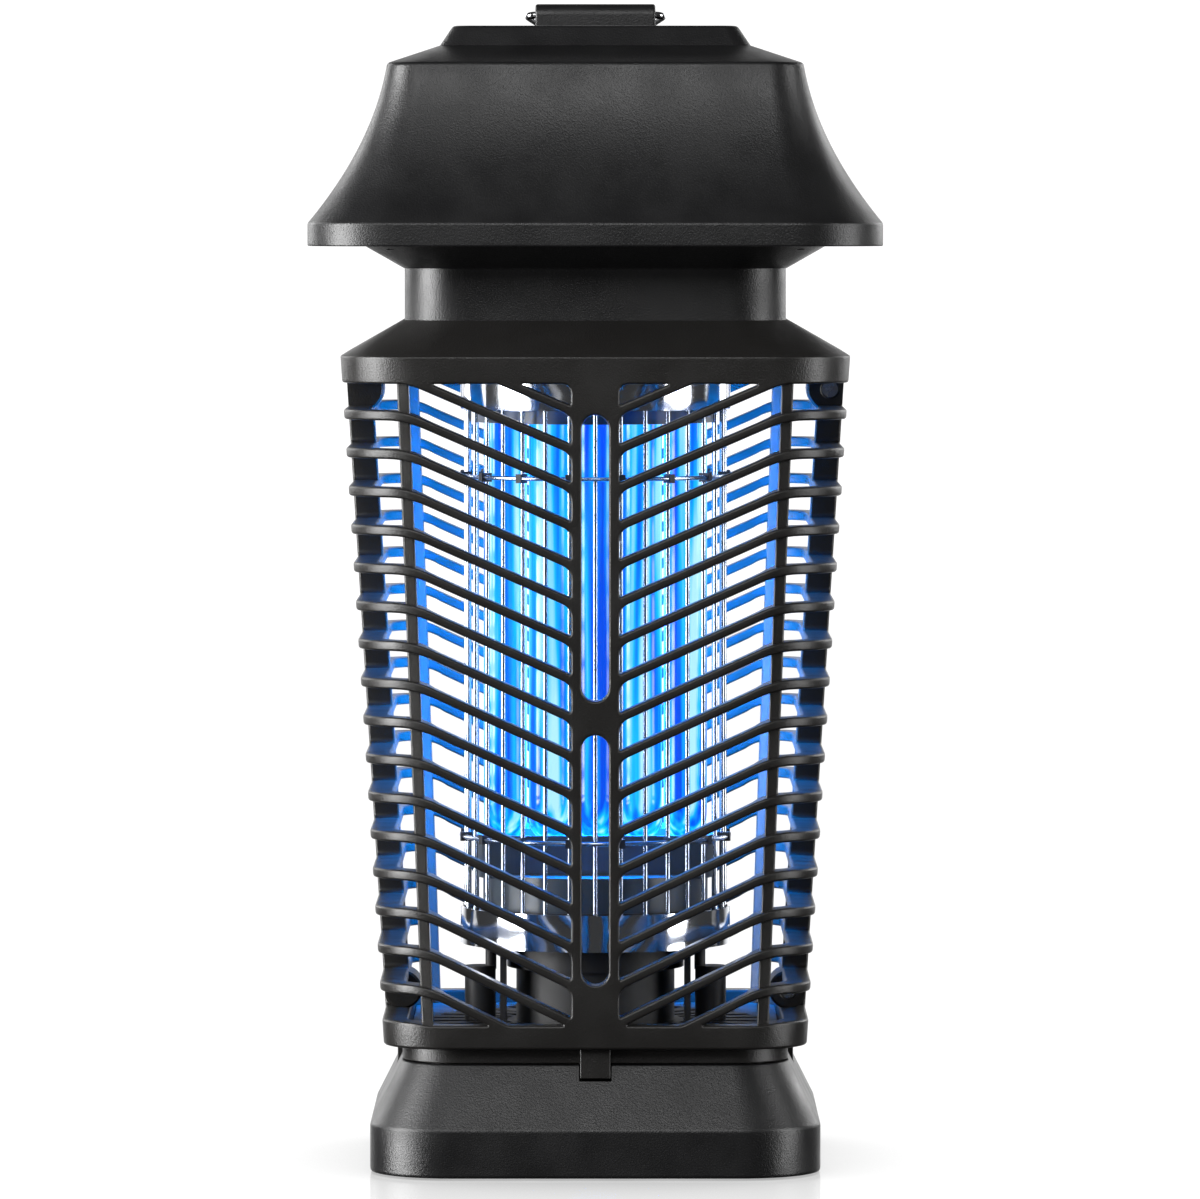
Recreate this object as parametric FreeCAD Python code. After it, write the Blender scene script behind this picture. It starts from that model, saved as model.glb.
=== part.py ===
import FreeCAD, Part

import math
import os

# Electric bug zapper lantern. Millimetres, +Z up, origin on the resting surface under the centre.
# The front faces -Y. The cage is two identical halves, joined at the Y = 0 plane.

V = FreeCAD.Vector
UP = V(0, 0, 1)
BACK = V(0, 1, 0)
RIGHT = V(1, 0, 0)
os.makedirs("parts", exist_ok=True)

# ---- Driving dimensions ----

fit_gap = 0.35            # clearance between parts that move or lift past each other
seat_gap = 0.2            # clearance between parts that are put together and stay put
wall = 2.5                # usual moulded wall
past = 1.0                # how far a cutting shape runs beyond what it cuts
small_step = 0.5          # a thin ledge or a setback that only keeps two edges apart

# Cross-head screws, all of one size
screw_head_radius = 2.2
screw_head_height = 1.6
screw_shank_radius = 1.2
screw_sunk = 0.6          # how far a screw head sits below the face round it
cross_long = 2.6
cross_wide = 0.6
cross_deep = 0.8

# Base: the pull-off tray on four rubber feet, and the collar it hangs from
foot_height = 0.5
foot_radius = 7.0
foot_inset = 16.0
foot_sunk = 0.8
tray_half = 60.3
tray_corner = 22.0
tray_band_top = 13.2
tray_mouth_half = 51.8
tray_mouth_corner = 16.0
tray_top = 30.1
tray_edge_round = 1.0
tongue_width = 8.0
tongue_face = 53.7
tongue_bottom = 26.5
spigot_bottom = 23.0

# Cage: tapered rounded square, widest at the top
cage_bottom = 34.5
cage_top = 218.7
cage_half_low = 56.6
cage_half_high = 67.8
cage_corner_low = 17.5
cage_corner_high = 22.5
window_bottom = 40.9
window_top = 211.6
fin_depth = 7.0           # how deep the bars, the spine and the joint flanges are
flange_thickness = 2.2
shoulder_top = 228.1
shoulder_half = 51.4
reach = 2 * cage_half_high  # for shapes that only have to be wider than the cage

# Chevron bars: level round the corner, then falling to the centre spine
first_bar_top = 204.6
bar_pitch = 10.19
bar_height = 2.7
bar_count = 16
bars_above_first = 3
bar_fall = 19.0
bar_bend_radius = 26.0
bar_root_round = 2.6
sliver = 5                # solids smaller than this, in mm3, are left out of the bars
spine_half = 6.4
slot_half = 3.6
slot_spans = [(127.5, 203.4), (51.7, 118.5)]
blade_x_low = 44.6
blade_x_high = 50.8
blade_thickness = 3.1
blade_setback = 1.2
blade_behind = 1.5        # how far the blades reach in behind the bars

# Side joint screws, one pair of bosses near the top and one near the bottom: x, z and radius
boss_depth = 9.0
boss_places = [(63.35, 209.0, 6.2), (52.2, 46.3, 5.2)]
pilot_end = 2.0           # plastic left in front of the blind end of a pilot hole

# Neck, with the lamp socket above its floor
neck_half = 50.9
neck_corner = 16.0
neck_top = 241.9
neck_floor_bottom = 213.0
neck_floor_top = 216.0
neck_flange_corner = 15.0
lamp_hole_radius = 18.8
socket_half = (16.0, 12.0)
socket_top = 233.0
socket_lug_half = (27.0, 6.0)
socket_lug_height = 3.0
socket_screw_x = 22.0
gland_z = 235.0
gland_radius = 5.0
gland_bore = 3.2
gland_lip = 1.3
gland_lip_depth = 1.5
lead_x = 32.0
lead_radius = 1.3

# Cap
brim_bottom = 247.9
brim_top = 253.9
brim_half = 76.3
flare_top = 296.4
flare_top_half = 55.3
flare_linear = 6.9        # how the flare widens downwards, straight part
flare_square = 14.1       # and the part that grows with the square of the way down
flare_top_corner = 9.5
flare_corner_growth = 0.7
flare_steps = 6
roof_top = 301.2
roof_half = 41.4
roof_corner = 5.0
tier_top = 306.5
tier_half = 37.9
underside_half = 61.4
underside_corner = 19.0
underside_top = brim_bottom + wall
cap_boss_at = (53.0, 53.0)
cap_boss_radius = 4.0
cap_boss_top = 292.0

# Circuit board and what stands on it, above the cap's underside
board_bottom = 256.0
board_top = 257.6
board_half = (36.0, 30.0)
board_screw_at = (32.0, 26.0)
standoff_radius = 3.5
bridge_half = (59.5, 6.0)
core_x = (-30.0, -6.0)
core_y = (-12.0, 8.0)
core_limb = 5.0
core_window = 12.0
winding_overhang = 2.0
choke_radius = 8.0
choke_hole = 3.0
choke_height = 11.0
choke_at = (6.0, 14.0)
can_radius = 5.0
can_height = 17.0
can_places = [(8.0, -18.0), (21.0, -18.0), (21.0, 8.0)]
disc_capacitor_radius = 4.5
disc_capacitor_depth = 2.6
disc_capacitor_y = -6.3
disc_capacitor_x = [6.0, 14.0, 22.0]

# Hanger: the barrel on the tier and the wire bail in it
barrel_length = 32.5
barrel_radius = 3.0
barrel_round = 0.7
barrel_axis_z = 310.0
bail_wire_radius = 1.0
bail_bore_gap = 0.05
bail_reach = 30.0
bail_foot_half = 18.9     # from the centre to the corner where each arm leaves the barrel
bail_end_x = 2.0          # where each end of the wire stops inside the barrel
bail_arm_angle = 70.0     # degrees between the barrel and each arm
bail_droop = 12.6         # degrees below level when folded back
bail_bend = 1.9
bail_top_bend = 5.0
recess_half = 20.0
recess_floor = 302.3
recess_back = 33.0
well_width = 4.0
well_front = 2.0
hanger_screw_at = (27.0, 25.0)

# Cage floor and what stands on it
floor_bottom = cage_bottom
floor_top = floor_bottom + 3.0
floor_slot_count = 28
floor_slot_half = 1.6
floor_slot_span = (24.0, 44.5)
drum_radius = 21.5
drum_top = 52.2
disc_radius = 24.0
pillar_radius = 4.2
pillar_x = 31.3
pillar_pin_radius = 1.5
pillar_pin_x = 28.4
rib_at = (25.0, 11.0)
rib_half = (0.75, 5.0)
rib_top = 58.6

# Grid
grid_radius = 35.0
rod_radius = 0.6
rod_count = 32
rod_bottom = 62.0
rod_top = 207.0
ring_levels = {"lower": 87.8, "upper": 185.5}
ring_radius = 36.3
ring_wire_radius = 0.6
clip_span = (34.0, 37.2)
clip_half_width = 0.8
clip_half_height = 1.2
reflector_radius = 35.9
reflector_wall = 0.7
reflector_low_span = (58.7, 68.6)
reflector_high_span = (203.7, 211.0)
low_plate_span = (60.5, 65.0)
high_plate_radius = 37.0
high_plate_opening = 19.0
high_carrier_inner = 29.0
high_carrier_bottom = 204.0

# Lamp
lamp_leg_radius = 5.8
lamp_leg_y = 7.6
tube_pitch = 12.2
tube_count = 5
lamp_bottom = 86.0
lamp_top = 200.0
lamp_base_radius = 32.0
lamp_neck_radius = 18.5
lamp_neck_top = 216.0
lamp_pin_at = (7.0, 3.5)
lamp_pin_radius = 1.2
lamp_pin_top = 221.5
holder_radius = 31.0
holder_step = 77.0
holder_top = 88.5
holder_cup_radius = 33.0
holder_cup_half_y = 15.5
holder_cup_wall = 1.2
holder_gap = 0.15


# ---- Shape helpers ----

def rounded_square(half, corner, z):
    """Closed wire: a square of the given half width with round corners, at height z."""
    inner = half - corner
    edges = []
    for quarter in range(4):
        turn = FreeCAD.Rotation(UP, 90 * quarter)
        start = turn.multVec(V(half, -inner, z))
        end = turn.multVec(V(half, inner, z))
        middle = turn.multVec(V(inner + corner * math.sqrt(0.5), inner + corner * math.sqrt(0.5), z))
        after = turn.multVec(V(inner, half, z))
        edges.append(Part.LineSegment(start, end).toShape())
        edges.append(Part.Arc(end, middle, after).toShape())
    return Part.Wire(edges)


def tower(sections, straight=True):
    """Solid through rounded squares given as (half width, corner radius, height)."""
    return Part.makeLoft([rounded_square(*section) for section in sections], True, straight)


def block(x_low, x_high, y_low, y_high, z_low, z_high):
    return Part.makeBox(x_high - x_low, y_high - y_low, z_high - z_low, V(x_low, y_low, z_low))


def post(radius, z_low, z_high, x=0.0, y=0.0):
    return Part.makeCylinder(radius, z_high - z_low, V(x, y, z_low), UP)


def ring(outer, inner, z_low, z_high):
    return post(outer, z_low, z_high).cut(post(inner, z_low - past, z_high + past))


def turned(shape, degrees):
    """Copy of a shape, turned about the vertical axis."""
    copy = shape.copy()
    copy.rotate(V(0, 0, 0), UP, degrees)
    return copy


def four_corners(x, y):
    return [(x, y), (-x, y), (-x, -y), (x, -y)]


def joined(shapes):
    """One solid from shapes that overlap."""
    return shapes[0].multiFuse(shapes[1:]).removeSplitter()


def save(node, shape):
    shape.exportStep(os.path.join("parts", node + ".step"))


def pan_screw(head_at, direction, length):
    """Cross-head screw: the underside of its head is at head_at, its shank runs along direction."""
    shank = Part.makeCylinder(screw_shank_radius, length, head_at, direction)
    head = Part.makeCylinder(screw_head_radius, screw_head_height, head_at, direction * -1)
    outer_face = head_at - direction * screw_head_height
    sideways = direction.cross(RIGHT if abs(direction.dot(UP)) > abs(direction.dot(RIGHT)) else UP)
    upright = direction.cross(sideways)
    cuts = []
    for along, across in ((sideways, upright), (upright, sideways)):
        corner = outer_face - direction * past - along * (cross_long / 2) - across * (cross_wide / 2)
        outline = Part.makePolygon([corner, corner + along * cross_long,
                                    corner + along * cross_long + across * cross_wide,
                                    corner + across * cross_wide, corner])
        cuts.append(Part.Face(outline).extrude(direction * (cross_deep + past)))
    return shank.fuse(head).removeSplitter().cut(cuts)


# ---- Outline formulas ----

def cage_half(z):
    """Half width of the cage at a height: it widens evenly upwards."""
    share = (z - cage_bottom) / (cage_top - cage_bottom)
    return cage_half_low + share * (cage_half_high - cage_half_low)


def cage_corner(z):
    share = (z - cage_bottom) / (cage_top - cage_bottom)
    return cage_corner_low + share * (cage_corner_high - cage_corner_low)


def blade_x(z):
    """Where the upright blades behind the bars stand, which is also where the bars bend."""
    share = (z - window_bottom) / (window_top - window_bottom)
    return blade_x_low + share * (blade_x_high - blade_x_low)


def flare_half(z):
    """Half width of the cap: a parabola in the way down from the top of the flare."""
    down = (flare_top - z) / (flare_top - brim_top)
    return flare_top_half + flare_linear * down + flare_square * down ** 2


def flare_corner(z):
    """The cap's corners open out as it widens."""
    return flare_top_corner + flare_corner_growth * (flare_half(z) - flare_top_half)


def cage_section(z, inset=0.0):
    return (cage_half(z) - inset, cage_corner(z) - min(inset, fin_depth), z)


def flare_section(z, inset=0.0):
    return (flare_half(z) - inset, flare_corner(z) - inset, z)


# ---- Base ----

def tray_outline(inset):
    """The tray's outer form, or its hollow when inset by the wall."""
    slope = (tray_half - tray_mouth_half) / (tray_top - tray_band_top)
    top = tray_top if inset == 0 else tray_top + past
    top_half = tray_mouth_half - (top - tray_top) * slope - inset
    bottom = foot_height if inset == 0 else foot_height + wall
    band = tower([(tray_half - inset, tray_corner - inset, bottom),
                  (tray_half - inset, tray_corner - inset, tray_band_top)])
    if inset == 0:
        low_edges = [edge for edge in band.Edges if edge.BoundBox.Center.z < bottom + tray_edge_round / 2]
        band = band.makeFillet(tray_edge_round, low_edges)
    flare = tower([(tray_half - inset, tray_corner - inset, tray_band_top),
                   (top_half, tray_mouth_corner - inset, top)])
    return band.fuse(flare)


def foot_places():
    return four_corners(tray_half - foot_inset, tray_half - foot_inset)


def build_collection_tray():
    """Square tray with a flared top, notched where the four tongues reach into it."""
    tray = tray_outline(0).cut(tray_outline(wall))
    notch_half = tongue_width / 2 + fit_gap
    notch = block(-notch_half, notch_half, -tongue_face - fit_gap, -tray_mouth_half + 2 * wall,
                  tongue_bottom - 2 * fit_gap, tray_top + past)
    tray = tray.cut([turned(notch, 90 * side) for side in range(4)])
    sockets = [post(foot_radius + seat_gap, foot_height - past, foot_height + foot_sunk, x, y)
               for x, y in foot_places()]
    save("collection_tray", tray.cut(sockets))


def build_tray_feet():
    feet = [post(foot_radius, 0, foot_height + foot_sunk, x, y) for x, y in foot_places()]
    save("rubber_feet", Part.Compound(feet))


def build_tray_collar():
    """The spigot that the tray pushes onto, with four tongues that reach down over the tray."""
    spigot_half = tray_mouth_half - wall - 2 * fit_gap
    spigot_corner = tray_mouth_corner - wall
    skirt_half = tray_mouth_half - seat_gap
    skirt = tower([(skirt_half, tray_mouth_corner, tray_top + fit_gap),
                   (skirt_half, tray_mouth_corner, cage_bottom)])
    spigot = tower([(spigot_half, spigot_corner, spigot_bottom),
                    (spigot_half, spigot_corner, cage_bottom)])
    hollow = tower([(spigot_half - wall, spigot_corner - wall, spigot_bottom - past),
                    (spigot_half - wall, spigot_corner - wall, cage_bottom + past)])
    collar = skirt.fuse(spigot).cut(hollow)
    tongue = block(-tongue_width / 2, tongue_width / 2, -tongue_face, -tray_mouth_half + past,
                   tongue_bottom, cage_bottom)
    collar = joined([collar] + [turned(tongue, 90 * side) for side in range(4)])
    save("tray_collar", collar)


# ---- Cage ----

def bar_line(level, bend):
    """Edges of one bar line: level from far outside to the bend, an arc, then down to the spine."""
    angle = math.atan(bar_fall / (bend - spine_half))
    tangent = bar_bend_radius * math.tan(angle / 2)
    outside = V(reach, 0, level)
    arc_start = V(bend + tangent, 0, level)
    arc_end = V(bend - tangent * math.cos(angle), 0, level - tangent * math.sin(angle))
    arc_centre = V(bend + tangent, 0, level - bar_bend_radius)
    half_way = math.radians(90) + angle / 2
    arc_middle = arc_centre + V(math.cos(half_way), 0, math.sin(half_way)) * bar_bend_radius
    root = V(spine_half, 0, level - bar_fall)
    return [outside, arc_start, arc_middle, arc_end, root]


def bar_gap(index):
    """The space between bar index - 1 and bar index on the right-hand side of the front."""
    bar_top = first_bar_top - index * bar_pitch
    bend = blade_x(bar_top)
    low = bar_line(bar_top, bend)
    high = bar_line(bar_top + bar_pitch - bar_height, bend)
    edges = []
    for line in (low, high):
        edges.append(Part.LineSegment(line[0], line[1]).toShape())
        edges.append(Part.Arc(line[1], line[2], line[3]).toShape())
        edges.append(Part.LineSegment(line[3], line[4]).toShape())
    edges.append(Part.LineSegment(low[4], high[4]).toShape())
    edges.append(Part.LineSegment(low[0], high[0]).toShape())
    face = Part.Face(Part.Wire(Part.__sortEdges__(edges)))
    face.translate(V(0, -reach, 0))
    gap = face.extrude(V(0, reach - flange_thickness, 0))
    root_edges = [edge for edge in gap.Edges
                  if edge.BoundBox.XMax < spine_half + seat_gap and edge.BoundBox.YLength > fin_depth]
    root_edges.sort(key=lambda edge: edge.BoundBox.ZMax)
    gap = gap.makeFillet(bar_root_round, [root_edges[-1]])
    return gap.common(block(0, reach, -reach, 0, window_bottom, window_top))


def slot(z_low, z_high):
    """A tall slot with round ends through the spine."""
    body = block(-slot_half, slot_half, -reach, -fin_depth, z_low + slot_half, z_high - slot_half)
    ends = [Part.makeCylinder(slot_half, reach - fin_depth, V(0, -reach, z), BACK)
            for z in (z_low + slot_half, z_high - slot_half)]
    return joined([body] + ends)


def blade(side):
    """Upright blade behind the bars, leaning with the cage's taper."""
    half = blade_thickness / 2
    low = window_bottom - past
    high = window_top + past
    outline = [V(side * (blade_x(z) + across), -reach, z)
               for z, across in ((low, -half), (low, half), (high, half), (high, -half))]
    prism = Part.Face(Part.makePolygon(outline + outline[:1])).extrude(V(0, reach, 0))
    zone = tower([cage_section(low - past, blade_setback), cage_section(high + past, blade_setback)])
    inner_face = fin_depth + blade_behind
    hollow = tower([cage_section(low - 2 * past, inner_face), cage_section(high + 2 * past, inner_face)])
    return prism.common(zone).cut(hollow)


def cage_shell():
    """The tapered shell of both halves, with the shoulder that closes round the neck."""
    outer = tower([cage_section(cage_bottom), cage_section(cage_top),
                   (shoulder_half, neck_corner, shoulder_top)])
    opening = neck_half + seat_gap
    hollow = tower([cage_section(cage_bottom - past, fin_depth), cage_section(cage_top - wall, fin_depth),
                    (opening, neck_corner, shoulder_top - wall), (opening, neck_corner, shoulder_top + past)])
    return outer, outer.cut(hollow)


def wedge(direction):
    """The quarter of space that one side of the lantern faces, between two upright diagonals."""
    corners = [V(0, 0, 0), V(reach, -reach, 0), V(reach, reach, 0), V(0, 0, 0)]
    quarter = Part.Face(Part.makePolygon(corners)).extrude(V(0, 0, shoulder_top))
    return turned(quarter, direction)


def build_cage_halves():
    """Front half; the rear half is the same moulding turned round.

    The moulding is written as simpler nodes that meet face to face: the frame, which is the
    shoulder, bands, spine, joint flanges and blades, and the bars of each side of the lantern.
    """
    outer, shell = cage_shell()
    window = block(-reach, reach, -reach, -flange_thickness, window_bottom, window_top)
    window = window.cut(block(-spine_half, spine_half, -reach, 0, 0, shoulder_top))
    blades = [blade(-1), blade(1)]
    boss_rods = []
    holes = [slot(z_low, z_high) for z_low, z_high in slot_spans]
    for x, z, radius in boss_places:
        boss_rods += [Part.makeCylinder(radius, boss_depth, V(side * x, -boss_depth, z), BACK)
                      for side in (-1, 1)]
        holes.append(Part.makeCylinder(screw_head_radius + seat_gap, past + screw_sunk + screw_head_height,
                                       V(x, -boss_depth - past, z), BACK))
        holes.append(Part.makeCylinder(screw_shank_radius + seat_gap, boss_depth + past,
                                       V(x, -boss_depth, z), BACK))
        holes.append(Part.makeCylinder(screw_shank_radius, boss_depth - pilot_end,
                                       V(-x, pilot_end - boss_depth, z), BACK))
    front_shell = shell.common(block(-reach, reach, -reach, 0, 0, shoulder_top + past))
    bosses = [rod.common(outer) for rod in boss_rods]
    frame = joined([front_shell.cut(window)] + blades + bosses).cut(holes)
    save("cage_frame_front", frame)
    save("cage_frame_rear", turned(frame, 180))
    gaps = [bar_gap(index) for index in range(1 - bars_above_first, bar_count + 1)]
    gaps = [gap for gap in gaps if gap.Volume > sliver]
    mirrored = [gap.mirror(V(0, 0, 0), RIGHT) for gap in gaps]
    bars = front_shell.common(window).cut(gaps + mirrored + blades).cut(boss_rods)
    sides = {"front": [], "right": [], "rear": [], "left": []}
    for turns, name in enumerate(sides):
        quarter = wedge(-90 + 90 * turns)
        for half in (bars, turned(bars, 180)):
            if half.BoundBox.intersect(quarter.BoundBox):
                sides[name] += [bar for bar in half.common(quarter).Solids if bar.Volume > sliver]
    for name, solids in sides.items():
        save("cage_bars_" + name, Part.Compound(solids))


def build_cage_screws():
    """Four screws through the side bosses, two from the front and two from the back."""
    seat = boss_depth - screw_head_height - screw_sunk
    screws = []
    for x, z, _ in boss_places:
        front = pan_screw(V(x, -seat, z), BACK, seat + boss_depth - pilot_end - past)
        screws += [front, turned(front, 180)]
    save("cage_screws", Part.Compound(screws))


# ---- Cage floor and grid ----

def build_floor_grille():
    """Floor plate with radial slots, through which the dead insects fall into the tray."""
    half = cage_half(floor_bottom) - fin_depth - seat_gap
    corner = cage_corner_low - fin_depth
    plate = tower([(half, corner, floor_bottom), (half, corner, floor_top)])
    slot_start, slot_end = floor_slot_span
    slot_body = block(slot_start, slot_end, -floor_slot_half, floor_slot_half,
                      floor_bottom - past, floor_top + past)
    slots = [turned(slot_body, 360 * (index + 0.5) / floor_slot_count) for index in range(floor_slot_count)]
    save("floor_grille", plate.cut(slots))


def build_grid_base():
    """Insulating drum and disc that carry the lower end of the grid and lamp."""
    seat_bottom, seat_top = reflector_low_span
    base = joined([post(drum_radius, floor_top, drum_top), post(disc_radius, drum_top, seat_bottom),
                   post(holder_radius, seat_bottom, seat_top)])
    base = base.cut(post(drum_radius - wall, floor_top - past, drum_top - wall))
    save("grid_base", base)


def build_grid_pillars():
    """Side pillars with their pins, and the thin ribs in front of and behind the drum."""
    pillars = []
    for side in (-1, 1):
        pillar = post(pillar_radius, floor_top, drum_top, side * pillar_x)
        pin = post(pillar_pin_radius, drum_top - past, reflector_low_span[0], side * pillar_pin_x)
        pillars.append(pillar.fuse(pin).removeSplitter())
    save("grid_pillars", Part.Compound(pillars))
    half_x, half_y = rib_half
    ribs = [block(x - half_x, x + half_x, y - half_y, y + half_y, floor_top, rib_top)
            for x, y in four_corners(*rib_at)]
    save("support_ribs", Part.Compound(ribs))


def rod_places(first):
    """Every second rod on the grid circle, starting at the given one."""
    angles = [2 * math.pi * index / rod_count for index in range(first, rod_count, 2)]
    return [(grid_radius * math.cos(angle), grid_radius * math.sin(angle)) for angle in angles]


def rod_holes(z_low, z_high):
    return [post(rod_radius, z_low, z_high, x, y) for x, y in rod_places(0) + rod_places(1)]


def build_grid_rods():
    for node, first in (("grid_rods_live", 0), ("grid_rods_ground", 1)):
        rods = [post(rod_radius, rod_bottom, rod_top, x, y) for x, y in rod_places(first)]
        save(node, Part.Compound(rods))


def build_grid_rings():
    """Wire rings outside the rods, and the small black clips that hold them to the ground rods."""
    for name, z in ring_levels.items():
        wire = Part.makeTorus(ring_radius, ring_wire_radius, V(0, 0, z), UP)
        save("grid_ring_" + name, wire)
        clip = block(*clip_span, -clip_half_width, clip_half_width,
                     z - clip_half_height, z + clip_half_height)
        clips = [turned(clip, 360 * index / rod_count) for index in range(1, rod_count, 2)]
        tools = [wire] + rod_holes(z - 2 * clip_half_height, z + 2 * clip_half_height)
        save("ring_clips_" + name, Part.Compound([clip.cut(tools) for clip in clips]))


def build_reflectors():
    for name, span in (("lower", reflector_low_span), ("upper", reflector_high_span)):
        sleeve = ring(reflector_radius + reflector_wall, reflector_radius, *span)
        save("reflector_ring_" + name, sleeve)


def build_rod_plates():
    """White insulating ring that the rods stand in, and the disc under the neck that they hang in."""
    low_plate = ring(reflector_radius, holder_radius, *low_plate_span)
    save("rod_plate_lower", low_plate.cut(rod_holes(rod_bottom, rod_top)))
    high_plate = post(high_plate_radius, reflector_high_span[1], neck_floor_bottom)
    carrier = ring(reflector_radius, high_carrier_inner, high_carrier_bottom, reflector_high_span[1])
    opening = post(high_plate_opening, reflector_high_span[1] - past, neck_floor_bottom + past)
    high_plate = high_plate.fuse(carrier).removeSplitter().cut(opening)
    save("rod_plate_upper", high_plate.cut(rod_holes(rod_bottom, rod_top)))


# ---- Lamp ----

def build_lamp():
    """Five U tubes side by side, hanging from the lamp's round base."""
    bend_z = lamp_bottom + lamp_leg_y + lamp_leg_radius
    tubes = []
    for number in range(tube_count):
        x = tube_pitch * (number - (tube_count - 1) / 2)
        legs = [post(lamp_leg_radius, bend_z, lamp_top, x, y) for y in (-lamp_leg_y, lamp_leg_y)]
        bend = Part.makeTorus(lamp_leg_y, lamp_leg_radius, V(x, 0, bend_z), RIGHT)
        lower_half = block(x - tube_pitch, x + tube_pitch, -reach, reach, lamp_bottom - past, bend_z)
        tubes.append(joined(legs + [bend.common(lower_half)]))
    save("uv_tubes", Part.Compound(tubes))
    base = post(lamp_base_radius, lamp_top, reflector_high_span[0])
    neck = post(lamp_neck_radius, reflector_high_span[0], lamp_neck_top)
    save("lamp_base", base.fuse(neck).removeSplitter())
    pins = [post(lamp_pin_radius, lamp_neck_top, lamp_pin_top, x, y) for x, y in four_corners(*lamp_pin_at)]
    save("lamp_pins", Part.Compound(pins))


def build_lamp_end_holder():
    """Stepped holder with a long shallow cup that steadies the bent ends of the tubes."""
    cup_y = holder_cup_half_y
    cup = block(-reach, reach, -cup_y, cup_y, holder_step, holder_top)
    cup = cup.common(post(holder_cup_radius, holder_step, holder_top))
    holder = joined([post(holder_radius - small_step, reflector_low_span[1], holder_step + past), cup])
    pocket_y = lamp_leg_y + lamp_leg_radius + holder_gap
    pocket = block(-reach, reach, -pocket_y, pocket_y, lamp_bottom, holder_top + past)
    pocket = pocket.common(post(holder_cup_radius - holder_cup_wall, lamp_bottom, holder_top + past))
    save("lamp_end_holder", holder.cut(pocket))


# ---- Neck, with the lamp socket and the electronics above it ----

def build_neck_housing():
    """Square neck with a wide flange below that closes the top of the cage."""
    flange_half = cage_half(neck_floor_bottom) - fin_depth - fit_gap
    flange = tower([(flange_half, neck_flange_corner, neck_floor_bottom),
                    (flange_half, neck_flange_corner, neck_floor_top)])
    body = tower([(neck_half, neck_corner, neck_floor_bottom + past), (neck_half, neck_corner, neck_top)])
    inside = tower([(neck_half - wall, neck_corner - wall, neck_floor_top),
                    (neck_half - wall, neck_corner - wall, neck_top + past)])
    housing = flange.fuse(body).removeSplitter().cut(inside)
    low, high = neck_floor_bottom - past, neck_floor_top + past
    holes = [post(lamp_hole_radius, low, high)]
    holes.append(Part.makeCylinder(gland_radius + holder_gap, 2 * wall + past,
                                   V(0, neck_half - 2 * wall, gland_z), BACK))
    holes += [post(lead_radius + seat_gap, low, high, x, 0) for x in (-lead_x, lead_x)]
    holes += [post(screw_shank_radius, low, high, x, 0) for x in (-socket_screw_x, socket_screw_x)]
    boss_x, boss_z, boss_radius = boss_places[0]
    room = boss_depth + fit_gap
    holes += [Part.makeCylinder(boss_radius + fit_gap, 2 * room, V(side * boss_x, -room, boss_z), BACK)
              for side in (-1, 1)]
    save("neck_housing", housing.cut(holes))


def build_lamp_socket():
    """Socket body that the lamp's four pins push up into, with two lugs screwed to the neck's floor."""
    half_x, half_y = socket_half
    lug_x, lug_y = socket_lug_half
    lug_top = neck_floor_top + socket_lug_height
    body = block(-half_x, half_x, -half_y, half_y, neck_floor_top, socket_top)
    lugs = block(-lug_x, lug_x, -lug_y, lug_y, neck_floor_top, lug_top)
    socket = body.fuse(lugs).removeSplitter()
    low = neck_floor_top - past
    screw_places = (-socket_screw_x, socket_screw_x)
    holes = [post(lamp_pin_radius + holder_gap, low, lamp_pin_top + past, x, y)
             for x, y in four_corners(*lamp_pin_at)]
    holes += [post(screw_shank_radius, low, lug_top + past, x, 0) for x in screw_places]
    save("lamp_socket", socket.cut(holes))
    screw_length = socket_lug_height + neck_floor_top - neck_floor_bottom - screw_sunk
    screws = [pan_screw(V(x, 0, lug_top), UP * -1, screw_length) for x in screw_places]
    save("socket_screws", Part.Compound(screws))


def build_cord_gland():
    """Rubber bushing in the back of the neck that the supply lead passes through."""
    inner_face = neck_half - wall - gland_lip_depth
    lip_radius = gland_radius + gland_lip
    length = wall + 2 * gland_lip_depth
    gland = joined([Part.makeCylinder(gland_radius, length, V(0, inner_face, gland_z), BACK),
                    Part.makeCylinder(lip_radius, gland_lip_depth, V(0, inner_face, gland_z), BACK),
                    Part.makeCylinder(lip_radius, gland_lip_depth, V(0, neck_half, gland_z), BACK)])
    bore = Part.makeCylinder(gland_bore, neck_half, V(0, inner_face - past, gland_z), BACK)
    save("cord_gland", gland.cut(bore))


def build_driver_board():
    """Circuit board on four standoffs, with its screws."""
    half_x, half_y = board_half
    board = block(-half_x, half_x, -half_y, half_y, board_bottom, board_top)
    places = four_corners(*board_screw_at)
    holes = [post(screw_shank_radius + seat_gap, board_bottom - past, board_top + past, x, y)
             for x, y in places]
    save("driver_board", board.cut(holes))
    screws = [pan_screw(V(x, y, board_top), UP * -1, 2 * wall + past) for x, y in places]
    save("board_screws", Part.Compound(screws))


def build_transformer():
    """Square ferrite core with one opening, and the winding that fills it."""
    window_low = board_top + core_limb
    window_high = window_low + core_window
    limbs = [block(*core_x, *core_y, low, low + core_limb) for low in (board_top, window_high)]
    limbs += [block(low, low + core_limb, *core_y, window_low, window_high)
              for low in (core_x[0], core_x[1] - core_limb)]
    save("transformer_core", joined(limbs))
    winding = block(core_x[0] + core_limb + seat_gap, core_x[1] - core_limb - seat_gap,
                    core_y[0] - winding_overhang, core_y[1] + winding_overhang,
                    window_low + seat_gap, window_high - seat_gap)
    save("transformer_winding", winding)


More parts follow.
